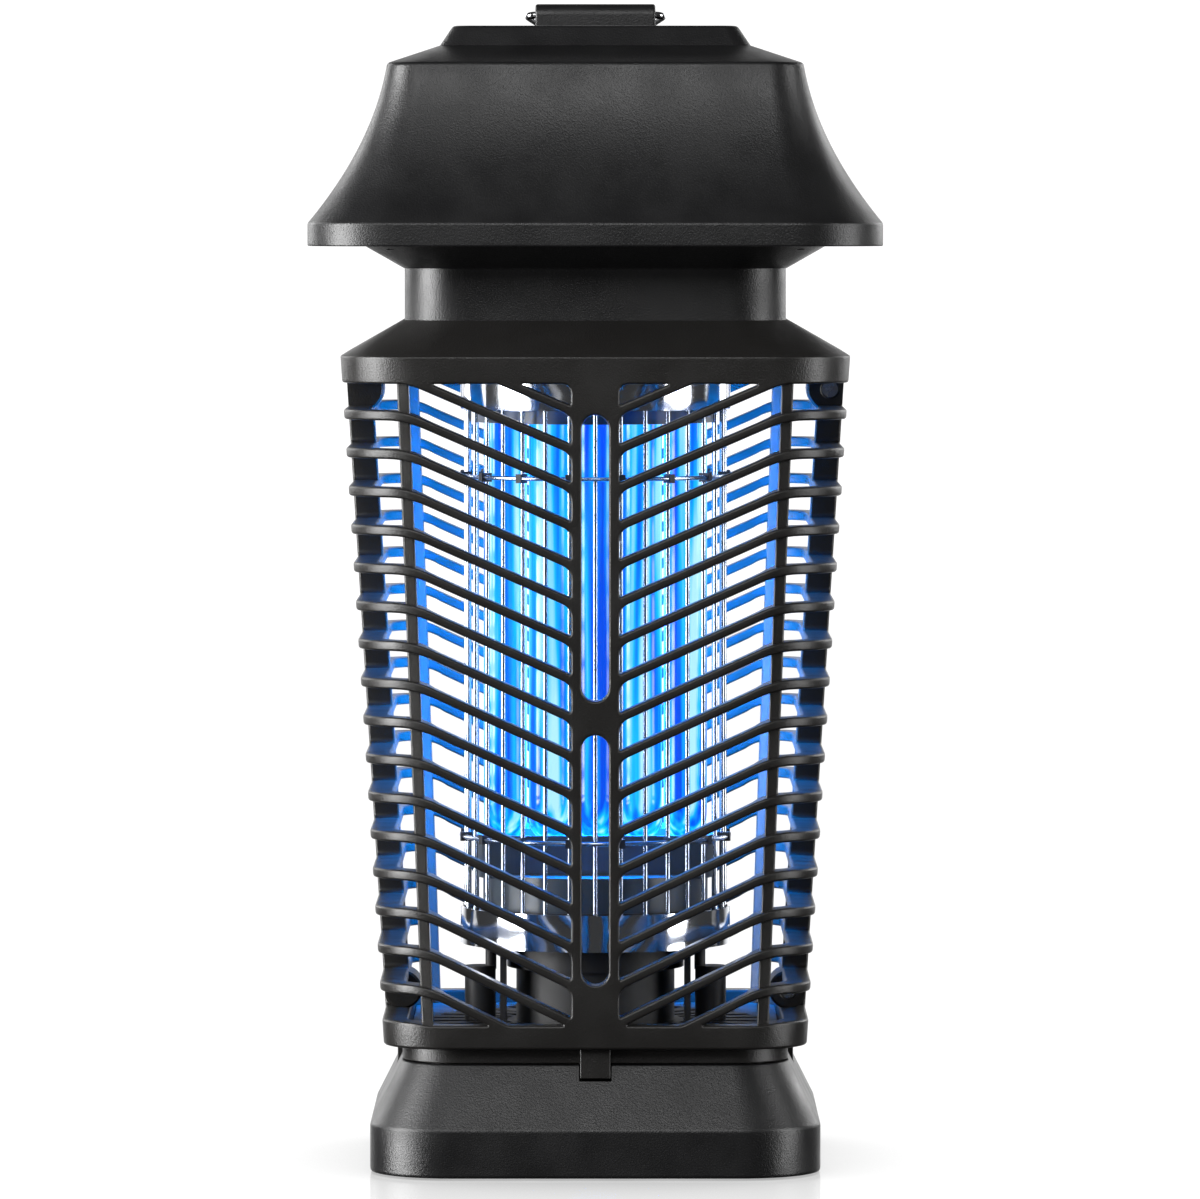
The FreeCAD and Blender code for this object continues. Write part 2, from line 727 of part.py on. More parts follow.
def build_board_parts():
    """Choke and capacitors, standing on the board."""
    choke = ring(choke_radius, choke_hole, board_top, board_top + choke_height)
    choke.translate(V(*choke_at, 0))
    save("ballast_choke", choke)
    cans = [post(can_radius, board_top, board_top + can_height, x, y) for x, y in can_places]
    save("electrolytic_capacitors", Part.Compound(cans))
    centre_z = board_top + disc_capacitor_radius + holder_gap
    discs = [Part.makeCylinder(disc_capacitor_radius, disc_capacitor_depth,
                               V(x, disc_capacitor_y, centre_z), BACK) for x in disc_capacitor_x]
    save("disc_capacitors", Part.Compound(discs))


def build_high_voltage_leads():
    """Two insulated leads down from the board to the rod plate."""
    leads = [post(lead_radius, neck_floor_bottom, board_bottom, x, 0) for x in (-lead_x, lead_x)]
    save("high_voltage_leads", Part.Compound(leads))


# ---- Cap ----

def build_cap_shell():
    """Pagoda cap: vertical brim, concave flare, shallow roof, hollow below."""
    levels = [brim_top + (flare_top - brim_top) * step / flare_steps for step in range(flare_steps + 1)]
    brim_corner = flare_corner(brim_top)
    brim = tower([(brim_half, brim_corner, brim_bottom), (brim_half, brim_corner, brim_top)])
    flare = tower([flare_section(z) for z in levels], straight=False)
    roof = tower([flare_section(flare_top), (roof_half, roof_corner, roof_top)])
    brim_inside = tower([(brim_half - wall, brim_corner - wall, brim_bottom - past),
                         (brim_half - wall, brim_corner - wall, brim_top)])
    flare_inside = tower([flare_section(z, wall) for z in levels], straight=False)
    inner_roof = tower([flare_section(flare_top, wall), (roof_half, roof_corner, roof_top - wall)])
    cap = brim.fuse([flare, roof]).cut(brim_inside.fuse([flare_inside, inner_roof]))
    outer_form = flare.fuse(brim)
    places = four_corners(*cap_boss_at)
    bosses = [post(cap_boss_radius, underside_top, cap_boss_top, x, y).common(outer_form) for x, y in places]
    cap = joined([cap] + bosses)
    holes = [post(screw_shank_radius, underside_top - past, underside_top + 4 * wall, x, y)
             for x, y in places]
    holes += [post(screw_shank_radius + seat_gap, roof_top - 2 * wall, roof_top + past, x, y)
              for x, y in four_corners(*hanger_screw_at)]
    save("cap_shell", cap.cut(holes))


def build_cap_underside():
    """Lower cover: a flat plate inside the brim, a taper down to the neck, and the board's bridges."""
    plate_half = brim_half - wall - seat_gap
    plate_corner = flare_corner(brim_top) - wall
    plate = tower([(plate_half, plate_corner, brim_bottom), (plate_half, plate_corner, underside_top)])
    foot = (neck_half + seat_gap, neck_corner, neck_top)
    taper = tower([foot, (underside_half, underside_corner, brim_bottom),
                   (underside_half, underside_corner, underside_top)])
    inner_half = neck_half - wall
    inner_corner = neck_corner - wall
    hollow = tower([(inner_half, inner_corner, neck_top - past),
                    (inner_half, inner_corner, neck_top + small_step),
                    (underside_half - wall, underside_corner - wall, brim_bottom + small_step),
                    (underside_half - wall, underside_corner - wall, underside_top + past)])
    cover = plate.fuse(taper).cut(hollow)
    screw_x, screw_y = board_screw_at
    bridge_x, bridge_y = bridge_half
    bridges = [block(-bridge_x, bridge_x, y - bridge_y, y + bridge_y, brim_bottom, underside_top)
               for y in (-screw_y, screw_y)]
    standoffs = [post(standoff_radius, brim_bottom + past, board_bottom, x, y)
                 for x, y in four_corners(screw_x, screw_y)]
    cover = cover.fuse(bridges + standoffs)
    head_bottom = brim_bottom + screw_head_height - screw_sunk
    holes = []
    for x, y in four_corners(*cap_boss_at):
        holes.append(post(screw_shank_radius + seat_gap, brim_bottom - past, underside_top + past, x, y))
        holes.append(post(screw_head_radius + seat_gap, brim_bottom - past, head_bottom, x, y))
    holes += [post(screw_shank_radius, board_bottom - 2 * wall, board_bottom + past, x, y)
              for x, y in four_corners(screw_x, screw_y)]
    save("cap_underside", cover.removeSplitter().cut(holes))


def build_cap_screws():
    """Four screws up through the underside into the cap's bosses."""
    head_at = brim_bottom + screw_head_height - screw_sunk
    screws = [pan_screw(V(x, y, head_at), UP, 4 * wall - past) for x, y in four_corners(*cap_boss_at)]
    save("cap_screws", Part.Compound(screws))


# ---- Hanger ----

def build_hanger_plate():
    """Stepped tier on the roof, with the bail's barrel across it and a recess the bail folds into."""
    tier = tower([(roof_half, roof_corner, roof_top), (tier_half, roof_corner - past, tier_top)])
    half_length = barrel_length / 2
    barrel = Part.makeCylinder(barrel_radius, barrel_length, V(-half_length, 0, barrel_axis_z), RIGHT)
    ends = [edge for edge in barrel.Edges if edge.BoundBox.XLength < barrel_round]
    barrel = barrel.makeFillet(barrel_round, ends)
    web = block(-half_length, half_length, -barrel_radius, barrel_radius, roof_top + wall, barrel_axis_z)
    recess = block(-recess_half, recess_half, barrel_radius, recess_back, recess_floor, tier_top + past)
    side_wells = [block(low, low + well_width, -well_front, barrel_radius + past,
                        recess_floor, tier_top + past) for low in (-recess_half, recess_half - well_width)]
    bore = Part.makeCylinder(bail_wire_radius + bail_bore_gap, barrel_length + 2 * past,
                             V(-half_length - past, 0, barrel_axis_z), RIGHT)
    pilots = [post(screw_shank_radius, roof_top - past, tier_top - wall / 2, x, y)
              for x, y in four_corners(*hanger_screw_at)]
    save("hanger_plate", joined([tier, barrel, web]).cut([recess, bore] + side_wells + pilots))


def build_hanger_screws():
    """Four screws up through the roof into the tier, their heads inside the cap."""
    length = wall + tier_top - roof_top - screw_head_height
    screws = [pan_screw(V(x, y, roof_top - wall), UP, length) for x, y in four_corners(*hanger_screw_at)]
    save("hanger_screws", Part.Compound(screws))


def rounded_path(points, radii):
    """Planar path through points, with an arc of the given radius at each inner point."""
    edges = []
    last = points[0]
    for before, corner, after, radius in zip(points, points[1:], points[2:], radii):
        back = (before - corner).normalize()
        ahead = (after - corner).normalize()
        half_angle = back.getAngle(ahead) / 2
        trim = radius / math.tan(half_angle)
        to_centre = (back + ahead).normalize()
        centre = corner + to_centre * (radius / math.sin(half_angle))
        start = corner + back * trim
        end = corner + ahead * trim
        edges.append(Part.LineSegment(last, start).toShape())
        edges.append(Part.Arc(start, centre - to_centre * radius, end).toShape())
        last = end
    edges.append(Part.LineSegment(last, points[-1]).toShape())
    return Part.Wire(edges)


def build_hanging_bail():
    """Chrome wire bail: both ends sit in the barrel, the arms lean in to a rounded bow."""
    bow_half = bail_foot_half - bail_reach / math.tan(math.radians(bail_arm_angle))
    points = [V(bail_end_x, 0, 0), V(bail_foot_half, 0, 0), V(bow_half, bail_reach, 0),
              V(-bow_half, bail_reach, 0), V(-bail_foot_half, 0, 0), V(-bail_end_x, 0, 0)]
    path = rounded_path(points, [bail_bend, bail_top_bend, bail_top_bend, bail_bend])
    profile = Part.Wire(Part.makeCircle(bail_wire_radius, points[0], RIGHT))
    bail = path.makePipeShell([profile], True, False)
    bail.rotate(V(0, 0, 0), RIGHT, -bail_droop)
    bail.translate(V(0, 0, barrel_axis_z))
    save("hanging_bail", bail)


build_collection_tray()
build_tray_feet()
build_tray_collar()
build_cage_halves()
build_cage_screws()
build_floor_grille()
build_grid_base()
build_grid_pillars()
build_grid_rods()
build_grid_rings()
build_reflectors()
build_rod_plates()
build_lamp()
build_lamp_end_holder()
build_neck_housing()
build_lamp_socket()
build_cord_gland()
build_driver_board()
build_transformer()
build_board_parts()
build_high_voltage_leads()
build_cap_shell()
build_cap_underside()
build_cap_screws()
build_hanger_plate()
build_hanger_screws()
build_hanging_bail()
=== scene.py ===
import math

import bmesh
import bpy
import numpy as np
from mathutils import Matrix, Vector
from mathutils.geometry import delaunay_2d_cdt


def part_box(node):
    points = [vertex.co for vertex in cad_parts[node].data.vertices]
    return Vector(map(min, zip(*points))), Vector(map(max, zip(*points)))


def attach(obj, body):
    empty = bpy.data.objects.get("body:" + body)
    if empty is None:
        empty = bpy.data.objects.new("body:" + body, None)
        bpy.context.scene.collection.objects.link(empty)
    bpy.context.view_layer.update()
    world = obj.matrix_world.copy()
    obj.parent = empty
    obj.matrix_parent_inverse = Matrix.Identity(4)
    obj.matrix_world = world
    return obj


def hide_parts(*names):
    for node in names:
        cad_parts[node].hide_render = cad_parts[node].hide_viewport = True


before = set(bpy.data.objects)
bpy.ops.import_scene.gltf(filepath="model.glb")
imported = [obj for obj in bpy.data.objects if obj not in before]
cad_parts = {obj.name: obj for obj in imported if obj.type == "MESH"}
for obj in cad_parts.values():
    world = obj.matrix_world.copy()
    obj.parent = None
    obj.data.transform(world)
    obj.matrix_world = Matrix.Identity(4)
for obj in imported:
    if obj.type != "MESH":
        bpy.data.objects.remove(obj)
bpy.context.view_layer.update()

# Electric bug zapper lantern. Shapes are worked out in millimetres, in the frame's own axes
# (front towards -Y), and turned to metres where a mesh is made.

MM = 0.001


def span(node):
    """Lowest and highest corner of a CAD node, in millimetres."""
    low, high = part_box(node)
    return np.array(low) / MM, np.array(high) / MM


# ---- Sizes ----

wall = 2.5

cage_low, cage_high = span("cage_frame_front")
cage_bottom = cage_low[2]
shoulder_top = cage_high[2]
cage_top = shoulder_top - 9.4
wall_seam = cage_top - 0.8
cage_half_high = cage_high[0]
cage_half_low = cage_half_high - 11.2
cage_corner_low = 17.5
cage_corner_high = 22.5
window_bottom = cage_bottom + 6.4
window_top = cage_top - 7.1
fin_depth = 7.0
flange = 2.2
neck_half = 50.9
neck_corner = 16.0
shoulder_half = neck_half + 0.5
neck_opening = neck_half + 0.2
seam_inner_half = 58.5
seam_inner_corner = 15.5

first_bar_top = cage_top - 14.1
bar_pitch = 10.19
bar_height = 2.7
gap_numbers = range(-2, 17)
bar_fall = 19.0
bar_bend_radius = 26.0
bar_edge = 0.65
bar_root_round = 2.6
bar_root_round_low = 0.7
gap_corner_round = 1.6
gap_corner_least = math.radians(25)
least_step = 0.4
rim_step = 3.5
slot_step = 6.0
border_step = 2.4
spine_half = 6.4
slot_half = 3.6
slot_spans = ((127.5, 203.4), (51.7, 118.5))
blade_x_low = 44.6
blade_x_high = 50.8
blade_thickness = 3.1
blade_setback = 1.2
blade_lean = 1.5
blade_edge = 0.5
boss_depth = 9.0
boss_edge = 0.6
boss_skin_gap = 0.3
seat_radius = 2.4
seat_depth = 3.2
seat_edge = 0.3
boss_places = ((63.35, 209.0, 6.2), (52.2, 46.3, 5.2))

brim_bottom = span("cap_shell")[0][2]
brim_top = brim_bottom + 6.0
brim_half = span("cap_shell")[1][0]
roof_top = span("cap_shell")[1][2]
flare_top = roof_top - 4.8
flare_top_half = 55.3
flare_linear = 6.9
flare_square = brim_half - flare_top_half - flare_linear
flare_top_corner = 9.5
flare_corner_growth = 0.7
flare_inner_corner = 7.0
roof_half = span("hanger_plate")[1][0]
roof_corner = 5.0
tier_top = roof_top + 5.3
tier_half = roof_half - 3.5
tier_land = 6.0
barrel_half_length = 16.25
barrel_radius = 3.0
barrel_axis = span("hanger_plate")[1][2] - barrel_radius
barrel_end_round = 0.7
recess_floor = roof_top + 1.1
recess_half = 20.0
recess_back = 33.0
recess_arm = 4.0
recess_front = -2.0
recess_edge = 0.6
cut_over = 2.0

tray_bottom = span("collection_tray")[0][2]
tray_half = span("collection_tray")[1][0]
tray_top = span("collection_tray")[1][2]
tray_corner = 22.0
tray_band_top = 13.2
tray_mouth_half = 51.8
tray_mouth_corner = 16.0
collar_low, collar_high = span("tray_collar")
tongue_half = 4.0
tongue_face = collar_high[0]
spigot_bottom = collar_low[2]
tongue_bottom = spigot_bottom + 3.5
tongue_edge = 0.35
fit_gap = 0.35
skirt_setback = 0.2

merge_distance = 0.004


# ---- Surfaces ----

def softened(points, cuts, closed=True, steps=3):
    """Round the corners of a run of points.

    Each corner with a cut gives way to a short parabola, from one cut before it to one cut after
    it: (1-t)^2 a + 2t(1-t) corner + t^2 b. A cut takes at most 0.45 of the shorter neighbour.
    """
    points = np.asarray(points, float)
    back = np.roll(points, 1, 0) - points
    ahead = np.roll(points, -1, 0) - points
    back_length = np.linalg.norm(back, axis=1)
    ahead_length = np.linalg.norm(ahead, axis=1)
    cut = np.minimum(np.broadcast_to(cuts, len(points)), 0.45 * np.minimum(back_length, ahead_length))
    if not closed:
        cut[[0, -1]] = 0
    start = points + back * (cut / back_length)[:, None]
    end = points + ahead * (cut / ahead_length)[:, None]
    t = np.linspace(0, 1, steps + 1)[None, :, None]
    curve = (1 - t) ** 2 * start[:, None] + 2 * t * (1 - t) * points[:, None] + t ** 2 * end[:, None]
    kept = np.broadcast_to(cut[:, None] > 0, curve.shape[:2]).copy()
    kept[:, 0] = True
    return curve[kept]


def divided(points, longest):
    """A closed outline with its long edges cut into equal lengths, none over the given one."""
    ahead = np.roll(points, -1, 0) - points
    counts = np.ceil(np.linalg.norm(ahead, axis=1) / longest).astype(int).clip(1)
    first = np.repeat(np.arange(len(points)), counts)
    step = np.arange(counts.sum()) - np.repeat(counts.cumsum() - counts, counts)
    return points[first] + ahead[first] * (step / counts[first])[:, None]


def widened(outline, distance):
    """A closed outline moved outwards by a distance, along the mean normal at each point."""
    ahead = np.roll(outline, -1, 0) - outline
    ahead /= np.linalg.norm(ahead, axis=1)[:, None]
    right = np.stack([ahead[:, 1], -ahead[:, 0]], -1)
    mean = right + np.roll(right, 1, 0)
    mean /= (mean ** 2).sum(1)[:, None] / 2
    return outline + mean * np.broadcast_to(distance, len(outline))[:, None]


def woven(points, wrap_rows=False, wrap_columns=False, close_rows=False, close_columns=False):
    """Quads over a grid of points; its first and last rows or columns may each be closed by a face."""
    rows, columns = points.shape[:2]
    number = np.arange(rows * columns).reshape(rows, columns)
    full = np.concatenate([number, number[:1]]) if wrap_rows else number
    full = np.concatenate([full, full[:, :1]], 1) if wrap_columns else full
    quads = np.stack([full[:-1, :-1], full[:-1, 1:], full[1:, 1:], full[1:, :-1]], -1)
    faces = quads.reshape(-1, 4).tolist()
    if close_rows:
        faces += [number[0].tolist(), number[-1].tolist()]
    if close_columns:
        faces += [number[:, 0].tolist(), number[:, -1].tolist()]
    return points.reshape(-1, 3), faces


def round_stations(turn_low, turn_high, arc_steps=14):
    """Stations of a rounded square's corners, from one quarter turn to another.

    Each station has C, the direction of its corner's centre, and U, the way its arc faces.
    """
    turn = np.arange(turn_low, turn_high)[:, None] * (math.pi / 2)
    facing = turn + np.linspace(0, math.pi / 2, arc_steps + 1)
    centre = np.broadcast_to(turn, facing.shape)
    toward = np.stack([np.cos(centre) - np.sin(centre), np.sin(centre) + np.cos(centre)], -1)
    outward = np.stack([np.cos(facing), np.sin(facing)], -1)
    return toward.reshape(-1, 2), outward.reshape(-1, 2)


def carried(profile, stations):
    """Carry a profile round a rounded square.

    A profile point (half, corner, z) traces (half - corner) C + corner U at height z.
    """
    toward, outward = stations
    half, corner, z = np.asarray(profile, float).T[:, :, None, None]
    flat = (half - corner) * toward + corner * outward
    return np.concatenate([flat, np.broadcast_to(z, flat.shape[:2] + (1,))], -1)


def profile_of(rows, closed=False):
    """Profile points from rows of (half, corner, z, cut), with each edge rounded by its cut."""
    rows = np.asarray(rows, float)
    return softened(rows[:, :3], rows[:, 3], closed)


def tower(rows, closed=False):
    """A closed shell from a profile carried all the way round."""
    points = carried(profile_of(rows, closed), round_stations(0, 4))
    return woven(points, wrap_rows=closed, wrap_columns=True, close_rows=not closed)


def slab(low, high, edge):
    """A block with rounded upright edges and softened ends.

    Its outline shrinks by the edge at both ends, along a quarter ellipse.
    """
    low, high = np.array(low, float), np.array(high, float)
    corners = np.array([(low[0], low[1]), (high[0], low[1]), (high[0], high[1]), (low[0], high[1])])
    outline = softened(corners, edge)
    quarter = np.linspace(0, math.pi / 2, 4)
    inset = edge * (1 - np.sin(quarter))
    rise = edge * (1 - np.cos(quarter))
    z = np.concatenate([low[2] + rise, high[2] - rise[::-1]])
    inset = np.concatenate([inset, inset[::-1]])
    rings = [np.column_stack([widened(outline, -d), np.full(len(outline), h)])
             for d, h in zip(inset, z)]
    return woven(np.stack(rings), wrap_columns=True, close_rows=True)


def turned(shell, degrees):
    """A shell turned about the upright axis."""
    points, faces = shell
    c, s = math.cos(math.radians(degrees)), math.sin(math.radians(degrees))
    return points @ np.array([[c, s, 0], [-s, c, 0], [0, 0, 1]]), faces


def mesh_from(name, shells):
    """One mesh from closed shells, in metres, with doubles merged and faces turned outwards."""
    points, faces = [], []
    for shell_points, shell_faces in shells:
        start = sum(len(p) for p in points)
        points.append(shell_points)
        faces += [[start + i for i in face] for face in shell_faces]
    mesh = bpy.data.meshes.new(name)
    mesh.from_pydata((np.concatenate(points) * MM).tolist(), [], faces)
    work = bmesh.new()
    work.from_mesh(mesh)
    bmesh.ops.remove_doubles(work, verts=work.verts, dist=merge_distance * MM)
    bmesh.ops.dissolve_degenerate(work, edges=work.edges, dist=merge_distance * MM)
    bmesh.ops.recalc_face_normals(work, faces=work.faces)
    work.to_mesh(mesh)
    work.free()
    return mesh


def loose_object(name, shells):
    """An object of the given closed shells, at the origin and in the scene."""
    thing = bpy.data.objects.new(name, mesh_from(name, shells))
    bpy.context.scene.collection.objects.link(thing)
    return thing


def cut_away(thing, tools):
    """Cut shells out of an object, and keep the result as its mesh."""
    cutters = []
    for number, tool in enumerate(tools):
        cutters.append(loose_object(f"{thing.name}_cutter_{number}", [tool]))
        cut = thing.modifiers.new("cut", "BOOLEAN")
        cut.operation = "DIFFERENCE"
        cut.solver = "MANIFOLD"
        cut.object = cutters[-1]
    cut_thing = thing.evaluated_get(bpy.context.evaluated_depsgraph_get())
    thing.data = bpy.data.meshes.new_from_object(cut_thing)
    thing.modifiers.clear()
    for cutter in cutters:
        bpy.data.objects.remove(cutter)


def finish_piece(thing, body, material, nodes, sharp=32):
    """Shade a piece, give it its finish, hang it on the body it rides on and hide the CAD nodes it
    stands for.
    """
    mesh = thing.data
    mesh.materials.clear()
    mesh.materials.append(material)
    mesh.polygons.foreach_set("use_smooth", np.ones(len(mesh.polygons), bool))
    mesh.set_sharp_from_angle(angle=math.radians(sharp))
    weighted = thing.modifiers.new("normals", "WEIGHTED_NORMAL")
    weighted.keep_sharp = True
    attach(thing, body)
    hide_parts(*nodes)


# ---- Materials ----

def linear(hex_colour):
    """An sRGB hex colour as linear RGBA."""
    channels = [int(hex_colour[i:i + 2], 16) / 255 for i in (1, 3, 5)]
    return [c / 12.92 if c <= 0.04045 else ((c + 0.055) / 1.055) ** 2.4 for c in channels] + [1.0]


def add(tree, kind, settings=None, links=None):
    """Add a node: settings are its own fields or inputs, links go from sockets to its inputs."""
    node = tree.nodes.new(kind)
    for key, value in (settings or {}).items():
        if isinstance(key, str) and hasattr(node, key) and key not in node.inputs:
            setattr(node, key, value)
        else:
            node.inputs[key].default_value = value
    for key, socket in (links or {}).items():
        tree.links.new(socket, node.inputs[key])
    return node


def shader(name, base, roughness, metallic=0.0, ior=1.5, **fields):
    """A material with a Principled shader; fields are more of its sockets, by name."""
    material = bpy.data.materials.new(name)
    material.use_nodes = True
    tree = material.node_tree
    principled = tree.nodes["Principled BSDF"]
    principled.inputs["Base Color"].default_value = linear(base)
    principled.inputs["Roughness"].default_value = roughness
    principled.inputs["Metallic"].default_value = metallic
    principled.inputs["IOR"].default_value = ior
    for key, value in fields.items():
        principled.inputs[key.replace("_", " ")].default_value = value
    return material, tree, principled


def grain(tree, principled, size, strength, height):
    """Moulding grain: fine noise of the given size in mm, as bump of the given height in mm."""
    noise = add(tree, "ShaderNodeTexNoise", {"Scale": 1 / (size * MM), "Detail": 2.0, "Roughness": 0.6},
                {"Vector": add(tree, "ShaderNodeTexCoord").outputs["Object"]})
    bump = add(tree, "ShaderNodeBump", {"Strength": strength, "Distance": height * MM},
               {"Height": noise.outputs["Fac"]})
    tree.links.new(bump.outputs["Normal"], principled.inputs["Normal"])


def uneven_gloss(tree, principled, low, high, size):
    """Let the roughness wander between two values with slow noise of the given size in mm."""
    noise = add(tree, "ShaderNodeTexNoise", {"Scale": 1 / (size * MM), "Detail": 3.0},
                {"Vector": add(tree, "ShaderNodeTexCoord").outputs["Object"]})
    # the noise seldom leaves 0.35 to 0.65
    spread = add(tree, "ShaderNodeMapRange",
                 {"From Min": 0.35, "From Max": 0.65, "To Min": low, "To Max": high},
                 {"Value": noise.outputs["Fac"]})
    tree.links.new(spread.outputs["Result"], principled.inputs["Roughness"])


def moulded_abs(name, base, roughness):
    """Black ABS from a spark-eroded mould: a dark matte skin whose fine pits break up highlights."""
    material, tree, principled = shader(name, base, roughness, ior=1.53)
    # the real pits are about 0.1 mm; drawn at 0.45 mm so that they show
    grain(tree, principled, size=0.45, strength=0.9, height=0.10)
    uneven_gloss(tree, principled, roughness - 0.05, roughness + 0.06, 14)
    return material


def plain(name, base, roughness, **fields):
    """A smooth moulding or coating with faint unevenness of its gloss."""
    material, tree, principled = shader(name, base, roughness, **fields)
    uneven_gloss(tree, principled, roughness - 0.04, roughness + 0.06, 9)
    return material


def drawn_wire(name, base, roughness):
    """Bright drawn steel: its gloss changes slowly along the wire, so its highlight thins and swells."""
    material, tree, principled = shader(name, base, roughness, metallic=1.0)
    stretch = add(tree, "ShaderNodeMapping", {"Scale": (1, 1, 0.1)},
                  {"Vector": add(tree, "ShaderNodeTexCoord").outputs["Object"]})
    # changes about 1.5 mm apart across the wire and 15 mm apart along it
    noise = add(tree, "ShaderNodeTexNoise", {"Scale": 1 / (1.5 * MM), "Detail": 1.0},
                {"Vector": stretch.outputs["Vector"]})
    spread = add(tree, "ShaderNodeMapRange", {"To Min": roughness - 0.05, "To Max": roughness + 0.1},
                 {"Value": noise.outputs["Fac"]})
    tree.links.new(spread.outputs["Result"], principled.inputs["Roughness"])
    return material


def rolled_sheet(name, base, roughness):
    """Polished aluminium sheet rolled into a ring: slight waves break its reflections into blobs."""
    material, tree, principled = shader(name, base, roughness, metallic=1.0)
    # the rolls leave waves about 14 mm apart
    noise = add(tree, "ShaderNodeTexNoise", {"Scale": 1 / (14 * MM), "Detail": 1.0},
                {"Vector": add(tree, "ShaderNodeTexCoord").outputs["Object"]})
    bump = add(tree, "ShaderNodeBump", {"Strength": 0.5, "Distance": 1.5 * MM},
               {"Height": noise.outputs["Fac"]})
    tree.links.new(bump.outputs["Normal"], principled.inputs["Normal"])
    return material


def lit_glass():
    """Phosphor-coated tube in use: the discharge glows in upright streaks, deep blue to pale cyan.

    The middle tube, within 5.5 mm of the centre line, is a step deeper in colour than the rest.
    """
    material, tree, principled = shader("lit_uv_tube", "#10306a", 0.12, ior=1.47)
    place = add(tree, "ShaderNodeTexCoord").outputs["Object"]
    stretch = add(tree, "ShaderNodeMapping", {"Scale": (1, 1, 0.03)}, {"Vector": place})
    # streaks about 3 mm wide, drawn out along the tube
    streaks = add(tree, "ShaderNodeTexNoise", {"Scale": 1 / (3 * MM), "Detail": 1.5},
                  {"Vector": stretch.outputs["Vector"]})
    across = add(tree, "ShaderNodeSeparateXYZ", None, {"Vector": place})
    aside = add(tree, "ShaderNodeMath", {"operation": "ABSOLUTE"}, {0: across.outputs["X"]})
    inner = add(tree, "ShaderNodeMapRange",
                {"From Min": 5.5 * MM, "From Max": 7 * MM, "To Min": -0.09, "To Max": 0.03},
                {"Value": aside.outputs[0]})
    level = add(tree, "ShaderNodeMath", {"operation": "ADD"},
                {0: streaks.outputs["Fac"], 1: inner.outputs["Result"]})
    ramp = add(tree, "ShaderNodeValToRGB", None, {"Fac": level.outputs[0]})
    stops = ramp.color_ramp.elements
    stops[0].position, stops[0].color = 0.36, linear("#0448e0")
    stops[1].position, stops[1].color = 0.70, linear("#b4f2ff")
    for position, colour in ((0.46, "#0a84fa"), (0.56, "#1cc4ff")):
        stops.new(position).color = linear(colour)
    tree.links.new(ramp.outputs["Color"], principled.inputs["Emission Color"])
    principled.inputs["Emission Strength"].default_value = 1.0
    return material


# moulded ABS: near-black and matte, with fine pits; the cage's is a little warmer and lighter
housing = moulded_abs("housing_abs_moulded", "#161617", 0.38)
cage_plastic = moulded_abs("cage_abs_moulded", "#201f1e", 0.38)
# ABS from a smooth mould: dark grey, with wide soft highlights
inner_plastic = plain("inner_black_plastic", "#2c2c2d", 0.55, ior=1.53)
# glass-filled nylon: off-white, with a dull sheen
white_plastic = plain("white_insulator", "#dfe3ea", 0.45, ior=1.53)
# chromed steel wire: a near mirror with hard, thin highlights
chrome = plain("chrome_wire", "#d9dadc", 0.08, metallic=1.0)
# drawn stainless wire: bright lines that thin and swell
grid_wire = drawn_wire("drawn_grid_wire", "#d7dde6", 0.18)
# rolled aluminium: mirror-like, with wavy reflections
reflector = rolled_sheet("rolled_reflector_sheet", "#eef1f7", 0.10)
# lit glass: a blue glow under a clear gloss
tube_glass = lit_glass()
# moulded polycarbonate: dark grey; its blue tint is painted tube light, on top of the blue the small
# lamps among the tubes throw on it
lamp_plastic = plain("lamp_base_plastic", "#39444e", 0.4, ior=1.53)
# turned brass: warm yellow with sharp highlights
brass = plain("brass_pins", "#c9a558", 0.22, metallic=1.0)
# blackened steel: dark grey metal with a soft shine
black_steel = plain("blackened_screw_steel", "#4a4a4e", 0.32, metallic=1.0)
# zinc-plated steel: bright cool grey, so that the heads catch the light
bright_steel = plain("zinc_plated_screw_steel", "#c9ccd2", 0.25, metallic=1.0)
# glass epoxy under solder mask: deep green and glossy
board_green = plain("circuit_board_epoxy", "#0f5a30", 0.35, ior=1.55)
# sintered ferrite: dark grey and dull
ferrite = plain("ferrite_core", "#2c2c2e", 0.55)
# enamelled copper wire: red-brown metal with a varnished shine
copper = plain("enamelled_copper", "#a4532a", 0.3, metallic=1.0)
# heat-shrunk PVC sleeve: navy and glossy
sleeve = plain("capacitor_sleeve", "#14224f", 0.25)
# epoxy-dipped ceramic: mid blue and glossy
dipped = plain("dipped_ceramic", "#2a5ba8", 0.3)
# silicone rubber insulation: red, with a waxy dullness
silicone = plain("red_silicone_lead", "#a5281c", 0.5)
# moulded rubber: black and dull
rubber = plain("black_rubber", "#1b1b1b", 0.7, ior=1.52)

